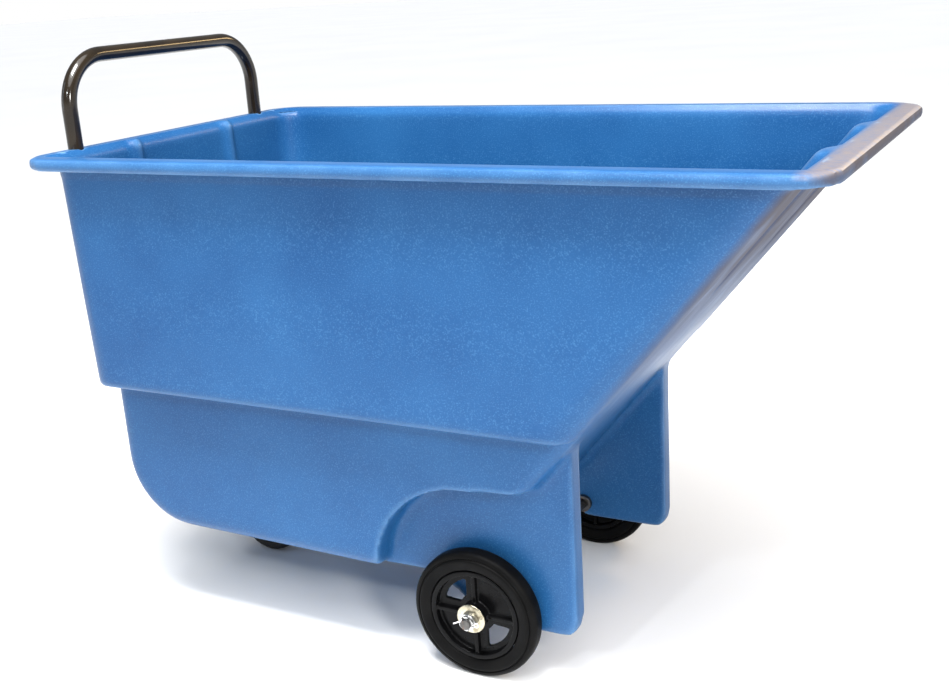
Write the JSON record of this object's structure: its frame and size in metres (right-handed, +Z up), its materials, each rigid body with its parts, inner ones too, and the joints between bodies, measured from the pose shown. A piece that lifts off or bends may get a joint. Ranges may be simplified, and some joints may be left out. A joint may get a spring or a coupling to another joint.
{
  "type": "garden cart",
  "caption": "Moulded plastic tilt cart: a deep tub with a sloped pouring front and lip, two fixed wheels on a through axle, a swivel caster and a bent tube push handle.",
  "frame": {"origin": "on the ground, straight under the main axle, on the centre plane of the cart", "axes": "+X towards the pouring lip at the front, +Y towards the far wheel, +Z up; the main axle lies along Y"},
  "size_m": [1.2188, 0.69, 0.9347],
  "materials": {
    "blue_plastic": "rotomoulded polyethylene, satin with a fine orange-peel texture",
    "black_paint": "glossy black painted steel tube",
    "black_plastic": "plain moulded plastic",
    "hub_plastic": "semi-gloss moulded wheel centre",
    "tyre": "solid black rubber with a moulding ring, worn satin",
    "caster_rubber": "satin rubber tread",
    "zinc": "bright zinc plate",
    "yellow_zinc": "yellow passivated zinc plate",
    "steel": "cold-drawn steel bar",
    "nylon": "natural nylon"
  },
  "bodies": {
    "cart": {"tub": "blue_plastic", "handle_tube": "black_paint", "handle_plug_near": "black_plastic", "handle_plug_far": "black_plastic", "handle_bolt_near_1": "zinc", "handle_bolt_near_2": "zinc", "handle_bolt_far_1": "zinc", "handle_bolt_far_2": "zinc", "handle_washer_near_1": "zinc", "handle_washer_near_2": "zinc", "handle_washer_far_1": "zinc", "handle_washer_far_2": "zinc", "handle_nut_near_1": "zinc", "handle_nut_near_2": "zinc", "handle_nut_far_1": "zinc", "handle_nut_far_2": "zinc", "axle": "steel", "axle_collar_near": "steel", "axle_collar_far": "steel", "leg_sleeve_near": "black_plastic", "leg_sleeve_far": "black_plastic", "inner_washer_near": "zinc", "inner_washer_far": "zinc", "outer_washer_near": "yellow_zinc", "outer_washer_far": "yellow_zinc", "castle_nut_near": "zinc", "castle_nut_far": "zinc", "cotter_pin_near": "zinc", "cotter_pin_far": "zinc", "caster_top_plate": "zinc", "caster_backing_plate": "zinc", "caster_bolt_1": "zinc", "caster_bolt_2": "zinc", "caster_bolt_3": "zinc", "caster_bolt_4": "zinc", "caster_nut_1": "zinc", "caster_nut_2": "zinc", "caster_nut_3": "zinc", "caster_nut_4": "zinc", "caster_kingpin": "steel", "caster_ball_ring": "steel"},
    "near_wheel": {"tyre_near": "tyre", "hub_near": "hub_plastic", "hub_bush_outer_near": "nylon", "hub_bush_inner_near": "nylon"},
    "far_wheel": {"tyre_far": "tyre", "hub_far": "hub_plastic", "hub_bush_outer_far": "nylon", "hub_bush_inner_far": "nylon"},
    "caster_swivel": {"caster_fork": "zinc", "caster_axle_bolt": "zinc", "caster_axle_nut": "zinc", "caster_bush": "nylon"},
    "caster_wheel": {"caster_core": "hub_plastic", "caster_tread": "caster_rubber"}
  },
  "joints": [
    {"name": "near_wheel_spin", "type": "hinge", "parent": "cart", "child": "near_wheel", "pos_m": [0, -0.2355, 0.1016], "axis": [0, 1, 0], "continuous": true},
    {"name": "far_wheel_spin", "type": "hinge", "parent": "cart", "child": "far_wheel", "pos_m": [0, 0.2355, 0.1016], "axis": [0, 1, 0], "continuous": true},
    {"name": "caster_swivel_turn", "type": "hinge", "parent": "cart", "child": "caster_swivel", "pos_m": [-0.52, 0, 0.137], "axis": [0, 0, 1], "continuous": true},
    {"name": "caster_wheel_spin", "type": "hinge", "parent": "caster_swivel", "child": "caster_wheel", "pos_m": [-0.558, 0, 0.0635], "axis": [0, 1, 0], "continuous": true}
  ]
}
